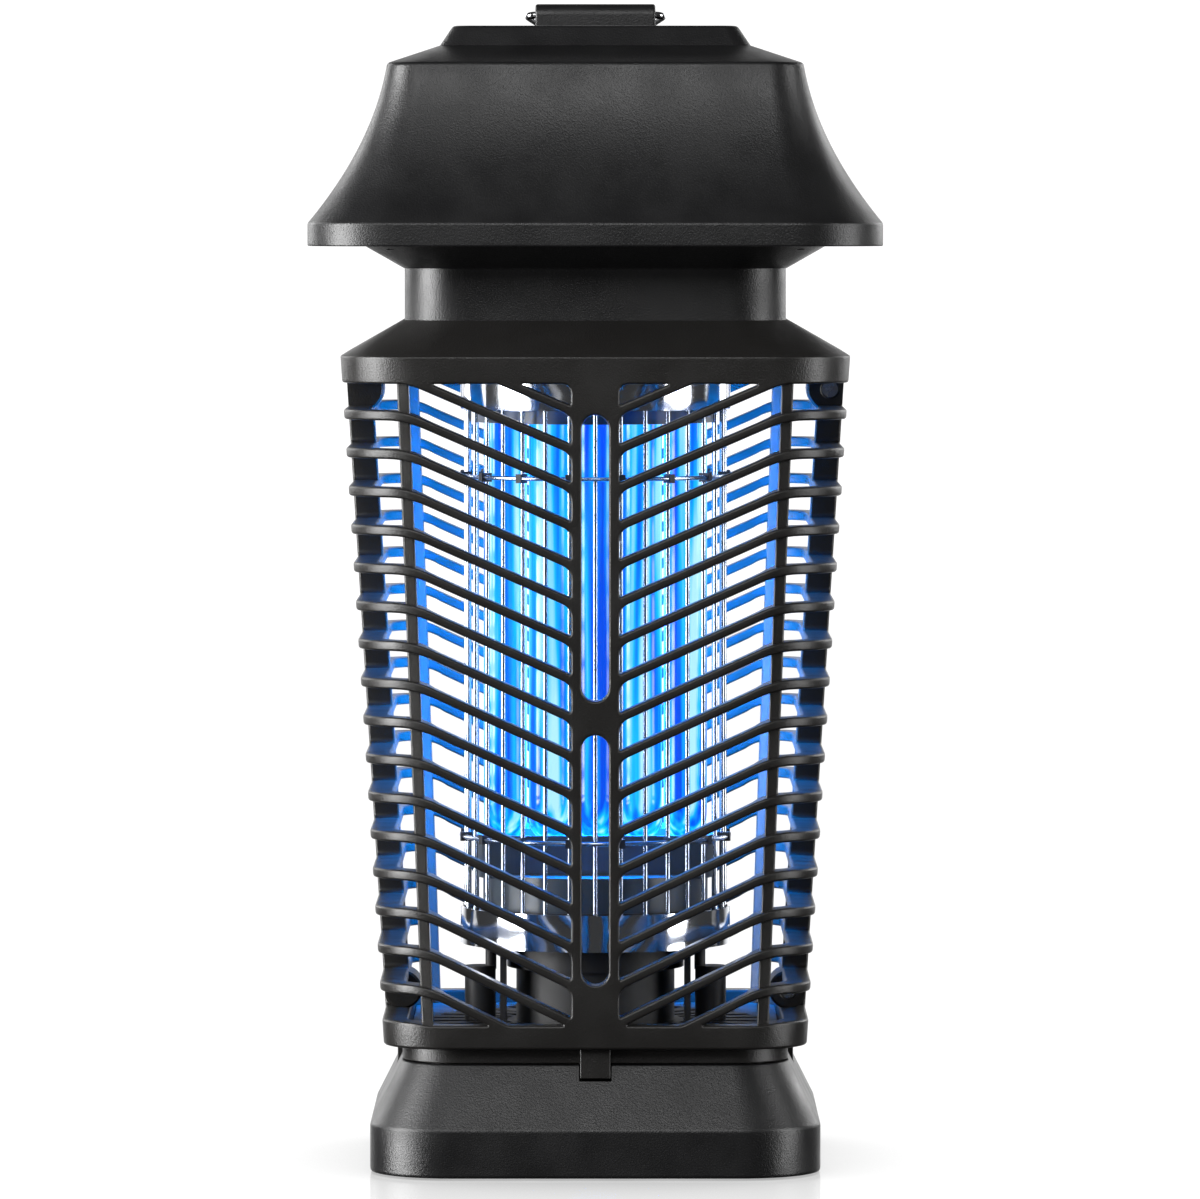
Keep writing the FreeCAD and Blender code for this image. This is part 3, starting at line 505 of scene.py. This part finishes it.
kept_nodes = {
    "rubber_feet": rubber, "cage_screws": bright_steel, "floor_grille": inner_plastic,
    "grid_base": inner_plastic, "grid_pillars": inner_plastic, "support_ribs": inner_plastic,
    "grid_rods_live": grid_wire, "grid_rods_ground": grid_wire, "grid_ring_lower": grid_wire,
    "grid_ring_upper": grid_wire, "ring_clips_lower": inner_plastic, "ring_clips_upper": inner_plastic,
    "reflector_ring_lower": reflector, "reflector_ring_upper": reflector,
    "rod_plate_lower": white_plastic, "rod_plate_upper": white_plastic, "uv_tubes": tube_glass,
    "lamp_base": lamp_plastic, "lamp_end_holder": lamp_plastic, "lamp_pins": brass,
    "neck_housing": housing, "lamp_socket": white_plastic, "socket_screws": black_steel,
    "cord_gland": rubber, "driver_board": board_green, "board_screws": black_steel,
    "transformer_core": ferrite, "transformer_winding": copper, "ballast_choke": copper,
    "electrolytic_capacitors": sleeve, "disc_capacitors": dipped, "high_voltage_leads": silicone,
    "cap_underside": housing, "cap_screws": black_steel, "hanger_screws": black_steel,
    "hanging_bail": chrome,
}
for node, material in kept_nodes.items():
    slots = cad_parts[node].data.materials
    slots.clear()
    slots.append(material)


# ---- Cap ----

def flare_half(z):
    """Half width of the cap: a parabola in the way down from the top of the flare."""
    down = (flare_top - z) / (flare_top - brim_top)
    return flare_top_half + flare_linear * down + flare_square * down ** 2


def flare_rows(inset, upwards):
    """Profile rows of the flare; its corners open out as it widens."""
    z = np.linspace(brim_top, flare_top, 25)[1:-1]
    z = z if upwards else z[::-1]
    half = flare_half(z)
    corner = flare_top_corner + flare_corner_growth * (half - flare_top_half)
    return np.column_stack([half - inset, corner - inset, z, np.zeros(len(z))]).tolist()


def make_cap():
    """Pagoda cap: upright brim, concave flare and shallow roof, hollow below."""
    brim_corner = flare_top_corner + flare_corner_growth * (brim_half - flare_top_half)
    rows = [(roof_half, roof_corner, roof_top - wall, 0),
            (flare_top_half - wall, flare_inner_corner, flare_top, 1.0)]
    rows += flare_rows(wall, upwards=False)
    rows += [(brim_half - wall, brim_corner - wall, brim_top, 0),
             (brim_half - wall, brim_corner - wall, brim_bottom, 0.3),
             (brim_half, brim_corner, brim_bottom, 0.5),
             (brim_half, brim_corner, brim_top, 0.5)]
    rows += flare_rows(0, upwards=True)
    rows += [(flare_top_half, flare_top_corner, flare_top, 0.9),
             (roof_half, roof_corner, roof_top, 0)]
    cap = loose_object("cap", [tower(rows)])
    finish_piece(cap, "lantern", housing, ["cap_shell"])


def barrel_mesh():
    """The bail's barrel: a half round on a short foot, carried along X.

    Towards each end the section shrinks about the barrel's axis, along a quarter ellipse.
    """
    half_turn = np.linspace(0, math.pi, 17)
    section = np.column_stack([barrel_radius * np.cos(half_turn),
                               barrel_axis + barrel_radius * np.sin(half_turn)])
    section = np.vstack([(barrel_radius, tier_top - 1), section, (-barrel_radius, tier_top - 1)])
    centre = np.array([0, barrel_axis])
    quarter = np.linspace(0, math.pi / 2, 4)
    inset = barrel_end_round * (1 - np.sin(quarter))
    x = barrel_half_length - barrel_end_round * (1 - np.cos(quarter))
    x = np.concatenate([x, -x[::-1]])
    inset = np.concatenate([inset, inset[::-1]])
    shrink = (barrel_radius - inset) / barrel_radius
    rings = [np.column_stack([np.full(len(section), along), centre + (section - centre) * share])
             for along, share in zip(x, shrink)]
    return mesh_from("barrel", [woven(np.stack(rings), wrap_columns=True, close_rows=True)])


def make_hanger():
    """Tier on the roof with the bail's barrel, and the recess that the bail folds into."""
    tier = tower([(roof_half, roof_corner, roof_top, 0),
                  (tier_half, roof_corner - 1, tier_top, 0.9),
                  (tier_half - tier_land, 2.0, tier_top, 0)])
    hanger = loose_object("hanger", [tier])
    recess_top = tier_top + cut_over
    spans = [(-recess_half, recess_half, barrel_radius, recess_back),
             (-recess_half, recess_arm - recess_half, recess_front, recess_arm),
             (recess_half - recess_arm, recess_half, recess_front, recess_arm)]
    cut_away(hanger, [slab((left, front, recess_floor), (right, back, recess_top), recess_edge)
                      for left, right, front, back in spans])
    joined = bmesh.new()
    joined.from_mesh(hanger.data)
    joined.from_mesh(barrel_mesh())
    joined.to_mesh(hanger.data)
    joined.free()
    finish_piece(hanger, "lantern", housing, ["hanger_plate"])


# ---- Tray ----

def make_tray():
    """Square tray with a flared top, notched where the four tongues reach into it."""
    rows = [(tray_half - wall - 2, tray_corner - wall - 2, tray_bottom + wall, 0),
            (tray_half - wall, tray_corner - wall, tray_bottom + wall, 1.0),
            (tray_half - wall, tray_corner - wall, tray_band_top, 0.5),
            (tray_mouth_half - wall, tray_mouth_corner - wall, tray_top, 0.3),
            (tray_mouth_half, tray_mouth_corner, tray_top, 0.5),
            (tray_half, tray_corner, tray_band_top, 0.6),
            (tray_half, tray_corner, tray_bottom, 1.0),
            (tray_half - 4, tray_corner - 4, tray_bottom, 0)]
    tray = loose_object("tray", [tower(rows)])
    notch_half = tongue_half + fit_gap
    notch = slab((-notch_half, -tongue_face - fit_gap, tongue_bottom - 2 * fit_gap),
                 (notch_half, 2 * wall - tray_mouth_half, tray_top + cut_over), 0.2)
    cut_away(tray, [turned(notch, 90 * side) for side in range(4)])
    finish_piece(tray, "tray", housing, ["collection_tray"])


def make_collar():
    """The spigot that the tray pushes onto, with the four tongues that reach down over it."""
    spigot_half = tray_mouth_half - wall - 2 * fit_gap
    spigot_corner = tray_mouth_corner - wall
    skirt_bottom = tray_top + fit_gap
    skirt_half = tray_mouth_half - skirt_setback
    ring = tower([(skirt_half, tray_mouth_corner, cage_bottom, 0.2),
                  (skirt_half, tray_mouth_corner, skirt_bottom, 0.3),
                  (spigot_half, spigot_corner, skirt_bottom, 0),
                  (spigot_half, spigot_corner, spigot_bottom, 0.4),
                  (spigot_half - wall, spigot_corner - wall, spigot_bottom, 0.4),
                  (spigot_half - wall, spigot_corner - wall, cage_bottom, 0)], closed=True)
    tongue = slab((-tongue_half, -tongue_face, tongue_bottom),
                  (tongue_half, 1 - tray_mouth_half, cage_bottom), tongue_edge)
    collar = loose_object("collar", [ring] + [turned(tongue, 90 * side) for side in range(4)])
    finish_piece(collar, "lantern", cage_plastic, ["tray_collar"])


# ---- Cage ----

def cage_half(z):
    """Half width of the cage at a height; it widens evenly upwards."""
    return np.interp(z, (cage_bottom, cage_top), (cage_half_low, cage_half_high))


def cage_corner(z):
    """Corner radius of the cage at a height."""
    return np.interp(z, (cage_bottom, cage_top), (cage_corner_low, cage_corner_high))


def blade_x(z):
    """Where the upright blades stand, which is also where the bars bend."""
    share = (z - window_bottom) / (window_top - window_bottom)
    return blade_x_low + (blade_x_high - blade_x_low) * share


def on_cage(s, z, depth):
    """Point of a cage half's wall, at s along its skin from the centre line and at height z.

    The depth is how far it lies below the skin.
    The way round is flat for the half width less the corner, then an arc of the corner radius,
    then the side as far as the joint at Y = 0.
    """
    corner = cage_corner(z)
    flat = cage_half(z) - corner
    way = np.abs(s)
    turn = np.clip((way - flat) / corner, 0, math.pi / 2)
    x = np.minimum(way, flat) + (corner - depth) * np.sin(turn)
    y = np.maximum(way - flat - corner * math.pi / 2, 0) - flat - (corner - depth) * np.cos(turn)
    return np.stack([np.sign(s) * x, y, z], -1)


def skin_way(x, z):
    """The way along the skin to where it stands x to the side of the centre line."""
    corner = cage_corner(z)
    flat = cage_half(z) - corner
    return np.minimum(x, flat) + corner * np.arcsin(np.clip((x - flat) / corner, 0, 1))


def joint_way(z):
    """The way along the skin from the centre line to the joint between the halves."""
    return 2 * cage_half(z) - (2 - math.pi / 2) * cage_corner(z)


def bar_line(bar_top, level):
    """One bar line, from the spine to the joint flange, as rows of (way along the skin, height).

    It rises straight from the spine, bends level in an arc where the blade crosses the bar's
    top, and stays level.
    """
    bend = blade_x(bar_top)
    angle = math.atan(bar_fall / (bend - spine_half))
    tangent = bar_bend_radius * math.tan(angle / 2)
    rising = np.linspace(spine_half, bend - tangent * math.cos(angle), 8)[:-1]
    arc = np.linspace(angle, 0, 7)
    arc_x = bend + tangent - bar_bend_radius * np.sin(arc)
    corner = cage_corner(level)
    flat = cage_half(level) - corner
    start = math.asin(min(1, (bend + tangent - flat) / corner))
    round_x = flat + corner * np.sin(np.linspace(start, math.pi / 2, 9)[1:])
    x = np.concatenate([rising, arc_x, round_x])
    z = np.concatenate([level - (bend - rising) * math.tan(angle),
                        level - bar_bend_radius * (1 - np.cos(arc)), np.full(len(round_x), level)])
    way = skin_way(x, z)
    side = np.linspace(way[-1], joint_way(level) - flange, 5)[1:]
    return np.column_stack([np.append(way, side), np.append(z, np.full(len(side), level))])


def cut_level(outline, limit, keep_below):
    """The part of a closed outline on one side of a level line, cut where its edges cross it."""
    sign = 1 if keep_below else -1
    above = sign * (outline[:, 1] - limit)
    after = np.roll(outline, -1, 0)
    above_after = np.roll(above, -1)
    crossing = above * above_after < 0
    share = np.where(crossing, above / np.where(crossing, above - above_after, 1), 0)
    cuts = outline + (after - outline) * share[:, None]
    both = np.stack([outline, cuts], 1)
    kept = np.stack([above <= 0, crossing], 1)
    return both[kept]


def spaced(outline, least):
    """A closed outline without points that stand closer than the least distance to the one before."""
    gap = np.linalg.norm(outline - np.roll(outline, 1, 0), axis=1)
    return outline[gap > least]


def gap_outline(number):
    """Outline of the space above one bar on the right-hand side, or None where nothing is left."""
    bar_top = first_bar_top - number * bar_pitch
    low = bar_line(bar_top, bar_top)
    high = bar_line(bar_top, bar_top + bar_pitch - bar_height)
    outline = np.concatenate([low, high[::-1]])
    outline = cut_level(outline, window_top, True)
    if len(outline) > 2:
        outline = cut_level(outline, window_bottom, False)
    if len(outline) < 3:
        return None
    outline = spaced(outline, least_step)
    back = outline - np.roll(outline, 1, 0)
    ahead = np.roll(outline, -1, 0) - outline
    cross = back[:, 0] * ahead[:, 1] - back[:, 1] * ahead[:, 0]
    bend = np.abs(np.arctan2(cross, (back * ahead).sum(1)))
    at_root = outline[:, 0] < spine_half + 0.1
    upper = outline[:, 1] > outline[at_root, 1].min() + 1 if at_root.any() else at_root
    cut = np.where(at_root, bar_root_round_low, gap_corner_round)
    cut = np.where(at_root & upper, bar_root_round, cut)
    outline = softened(outline, np.where(bend > gap_corner_least, cut, 0), steps=5)
    return divided(outline, rim_step)


def slot_outline(low, high):
    """A tall slot with round ends in the spine."""
    turn = np.linspace(0, math.pi, 13)
    across = slot_half * np.cos(turn)
    rise = slot_half * np.sin(turn)
    x = np.concatenate([across, -across])
    z = np.concatenate([high - slot_half + rise, low + slot_half - rise])
    return divided(np.column_stack([x, z]), slot_step)


def rim_rows(outline, edge, inwards):
    """Rows of points through the wall at an outline, with a quarter round at each skin.

    Along the quarter the row is edge (1 - sin) beside the outline at a depth of edge (1 - cos).
    """
    quarter = np.linspace(0, math.pi / 2, 4)
    beside = np.concatenate([1 - np.sin(quarter), (1 - np.sin(quarter))[::-1]])
    below = 1 - np.cos(quarter)
    edge = np.broadcast_to(edge, len(outline))
    sign = -1 if inwards else 1
    depth = [edge * share for share in below] + [fin_depth - edge * share for share in below[::-1]]
    rows = []
    for share, under in zip(beside, depth):
        moved = widened(outline, sign * share * edge)
        rows.append(on_cage(moved[:, 0], moved[:, 1], under))
    return np.stack(rows)


def cage_wall():
    """The pierced wall of one cage half, as shells that share their edges.

    Both skins are one triangulation in (way, height), laid at the skin and at the wall's depth.
    """
    z_ends = np.array([cage_bottom, wall_seam])
    ways = joint_way(z_ends)
    frame_line = np.array([(-ways[0], z_ends[0]), (ways[0], z_ends[0]),
                           (ways[1], z_ends[1]), (-ways[1], z_ends[1])])
    border = divided(frame_line, border_step)
    at_bottom = border[:, 1] < cage_bottom + 0.01
    at_seam = border[:, 1] > wall_seam - 0.01
    border_edge = np.where(at_bottom, 0.8, np.where(at_seam, 0.02, 0.25))
    holes = []
    for number in gap_numbers:
        right = gap_outline(number)
        if right is not None:
            holes += [right, right[::-1] * (-1, 1)]
    holes += [slot_outline(*ends) for ends in slot_spans]
    loops = [widened(border, -border_edge)] + [widened(hole, bar_edge) for hole in holes]
    flat_points = np.concatenate(loops)
    ends = np.cumsum([len(loop) for loop in loops])
    faces = [list(range(end - len(loop), end)) for loop, end in zip(loops, ends)]
    found = delaunay_2d_cdt([Vector(p) for p in flat_points], [], faces, 0, 1e-5, True)
    corners = np.array([v[:] for v in found[0]])
    triangles = [face for face, owners in zip(found[2], found[5]) if list(owners) == [0]]
    skin = (on_cage(corners[:, 0], corners[:, 1], 0.0), triangles)
    inner = (on_cage(corners[:, 0], corners[:, 1], fin_depth), triangles)
    rims = [woven(rim_rows(border, border_edge, True), wrap_columns=True)]
    rims += [woven(rim_rows(hole, bar_edge, False), wrap_columns=True) for hole in holes]
    return [skin, inner] + rims


def cage_blade(side):
    """Upright blade behind the bars; its faces follow the wall at two depths."""
    levels = np.linspace(window_bottom - 1, window_top + 1, 12)
    sections = []
    for z in levels:
        corner = cage_corner(z)
        flat = cage_half(z) - corner
        x = blade_x(z) + np.array([-0.5, 0.5]) * blade_thickness
        outer = -flat - np.sqrt((corner - blade_setback) ** 2 - (x - flat) ** 2)
        inner_reach = (corner - fin_depth) ** 2 - (x - flat + blade_lean) ** 2
        inner = blade_lean - flat - np.sqrt(inner_reach)
        loop = softened([(x[0], outer[0]), (x[1], outer[1]), (x[1], inner[1]), (x[0], inner[0])],
                        blade_edge)
        sections.append(np.column_stack([side * loop[:, 0], loop[:, 1], np.full(len(loop), z)]))
    return woven(np.stack(sections), wrap_columns=True, close_rows=True)


def cage_boss(x, z, radius, seated):
    """Screw boss against the joint, with a seat for the head if its screw enters here.

    A profile of (radius, depth) is turned about the boss's own axis; what would stand out of the
    side wall is held at its skin.
    """
    rows = [(radius, 0.0), (radius, -boss_depth + boss_edge), (radius - boss_edge, -boss_depth)]
    if seated:
        rows += [(seat_radius + seat_edge, -boss_depth), (seat_radius, -boss_depth + seat_edge),
                 (seat_radius, -boss_depth + seat_depth)]
    rows = np.array(rows)
    turn = np.linspace(0, 2 * math.pi, 33)[:-1]
    points_x = x + rows[:, :1] * np.cos(turn)
    points_z = z + rows[:, :1] * np.sin(turn)
    limit = cage_half(points_z) - boss_skin_gap
    points_x = np.clip(points_x, -limit, limit)
    points_y = np.broadcast_to(rows[:, 1:], points_x.shape)
    return woven(np.stack([points_x, points_y, points_z], -1), wrap_columns=True, close_rows=True)


def cage_shoulder():
    """Sloped shoulder of a cage half, from the top band's edge in to the neck."""
    rows = [(cage_half(wall_seam), cage_corner(wall_seam), wall_seam, 0),
            (cage_half_high, cage_corner_high, cage_top, 0.7),
            (shoulder_half, neck_corner, shoulder_top, 0.25),
            (neck_opening, neck_corner, shoulder_top, 0),
            (neck_opening, neck_corner, shoulder_top - wall, 0),
            (seam_inner_half, seam_inner_corner, wall_seam, 0)]
    left, right = np.array([(-1.0, 0.0)]), np.array([(1.0, 0.0)])
    stations = [np.concatenate([left, part, right]) for part in round_stations(2, 4)]
    points = carried(profile_of(rows, closed=True), stations)
    return woven(points, wrap_rows=True, close_columns=True)


def make_cage():
    """Front half of the cage, and the same moulding turned round as the rear half."""
    shells = cage_wall() + [cage_blade(-1), cage_blade(1), cage_shoulder()]
    for x, z, radius in boss_places:
        shells += [cage_boss(x, z, radius, True), cage_boss(-x, z, radius, False)]
    for end, side, degrees in (("front", "right", 0), ("rear", "left", 180)):
        half = loose_object(f"cage_{end}", [turned(shell, degrees) for shell in shells])
        finish_piece(half, "lantern", cage_plastic,
                     [f"cage_frame_{end}", f"cage_bars_{end}", f"cage_bars_{side}"], sharp=40)


make_cap()
make_hanger()
make_tray()
make_collar()
make_cage()


# ---- Stage, lights and camera: sizes here are in metres, powers in watts ----

floor_reach = 3.0
lit_middle = (0, 0, 0.17)
soft_boxes = (
    # name, place, width and height, power
    ("left_box", (-1.38, -0.40, 0.30), (0.8, 1.4), 60),
    ("right_strip", (1.36, -0.40, 0.30), (0.5, 1.4), 16),
    ("front_top", (-0.25, -1.60, 1.10), (1.2, 0.7), 12),
    ("rear_left", (-1.1, 1.3, 0.6), (0.5, 1.0), 8),
    ("rear_right", (1.1, 1.3, 0.6), (0.5, 1.0), 8),
)
# rows of small lamps: name, distance behind the middle, power of each
lamp_rows = (("middle", 0.0, 1.0), ("back", 0.022, 3.8))
lamp_heights = np.linspace(0.10, 0.195, 4)
lamp_colour = (0.0, 0.25, 1.0)
lamp_radius = 0.004
camera_place = (0.00125, -2.4, 0.26146)
camera_down = math.radians(2.618)
camera_lens = 265.56


def make_floor():
    """Plain white floor: its glow is dimmed close to the lantern as a painted contact shadow, and it
    mirrors the lantern at a low angle.
    """
    mesh = bpy.data.meshes.new("floor")
    corners = ((-1, -1), (1, -1), (1, 1), (-1, 1))
    mesh.from_pydata([(x * floor_reach, y * floor_reach, 0) for x, y in corners],
                     [], [(0, 1, 2, 3)])
    floor = bpy.data.objects.new("floor", mesh)
    bpy.context.scene.collection.objects.link(floor)
    material, tree, principled = shader("white_floor", "#202020", 0.8)
    principled.inputs["Emission Color"].default_value = (1, 1, 1, 1)
    # painted contact shadow: ambient occlusion dims the floor's glow close to the lantern
    near = add(tree, "ShaderNodeAmbientOcclusion", {"Distance": 0.06, "samples": 8})
    shade = add(tree, "ShaderNodeMapRange",
                {"From Min": 0.3, "From Max": 0.95, "To Min": 0.6, "To Max": 1.12},
                {"Value": near.outputs["AO"]})
    tree.links.new(shade.outputs["Result"], principled.inputs["Emission Strength"])
    gloss = add(tree, "ShaderNodeBsdfGlossy", {"Roughness": 0.05})
    fresnel = add(tree, "ShaderNodeFresnel", {"IOR": 1.45})
    share = add(tree, "ShaderNodeMath", {"operation": "MULTIPLY", 1: 0.6}, {0: fresnel.outputs[0]})
    mixed = add(tree, "ShaderNodeMixShader", None,
                {0: share.outputs[0], 1: principled.outputs[0], 2: gloss.outputs[0]})
    tree.links.new(mixed.outputs[0], tree.nodes["Material Output"].inputs["Surface"])
    floor.data.materials.append(material)
    floor.visible_diffuse = False
    floor.visible_glossy = False


def soft_box(name, place, size, power):
    """A rectangular light that faces the middle of the lantern."""
    data = bpy.data.lights.new(name, "AREA")
    data.shape = "RECTANGLE"
    data.size, data.size_y = size
    data.energy = power
    light = bpy.data.objects.new(name, data)
    light.location = place
    light.rotation_euler = (Vector(lit_middle) - Vector(place)).to_track_quat("-Z", "Y").to_euler()
    bpy.context.scene.collection.objects.link(light)
    light.visible_camera = False


def lamp_glow():
    """Light that the lit tubes throw about the cage: small lamps among them and behind them."""
    for row, back, power in lamp_rows:
        for number, z in enumerate(lamp_heights):
            data = bpy.data.lights.new(f"tube_light_{row}_{number}", "POINT")
            data.energy = power
            data.color = lamp_colour
            data.shadow_soft_size = lamp_radius
            light = bpy.data.objects.new(data.name, data)
            light.location = (0, back, z)
            light.visible_camera = False
            light.visible_glossy = False
            bpy.context.scene.collection.objects.link(light)
    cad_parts["uv_tubes"].visible_shadow = False


def make_world():
    """White to the eye all round; as a light it is dark, but for a white backdrop behind the lantern."""
    world = bpy.data.worlds.new("studio")
    bpy.context.scene.world = world
    world.use_nodes = True
    tree = world.node_tree
    background = tree.nodes["Background"]
    direction = add(tree, "ShaderNodeSeparateXYZ", None,
                    {"Vector": add(tree, "ShaderNodeTexCoord").outputs["Generated"]})
    backdrop = add(tree, "ShaderNodeMapRange",
                   {"From Min": 0.80, "From Max": 0.95, "To Min": 0.04, "To Max": 1.12},
                   {"Value": direction.outputs["Y"]})
    path = add(tree, "ShaderNodeLightPath")
    level = add(tree, "ShaderNodeMath", {"operation": "MAXIMUM"},
                {0: path.outputs["Is Camera Ray"], 1: backdrop.outputs["Result"]})
    background.inputs["Color"].default_value = (1, 1, 1, 1)
    tree.links.new(level.outputs[0], background.inputs["Strength"])


def make_camera():
    """A long lens from 2.4 m in front, level with the neck and turned a little down."""
    data = bpy.data.cameras.new("camera")
    data.sensor_fit = "HORIZONTAL"
    data.sensor_width = 36
    data.lens = camera_lens
    data.clip_end = 50
    camera = bpy.data.objects.new("camera", data)
    camera.location = camera_place
    camera.rotation_euler = (math.pi / 2 - camera_down, 0, 0)
    bpy.context.scene.collection.objects.link(camera)
    bpy.context.scene.camera = camera


make_floor()
make_world()
for box in soft_boxes:
    soft_box(*box)
lamp_glow()
make_camera()
bpy.context.scene.view_settings.view_transform = "Standard"
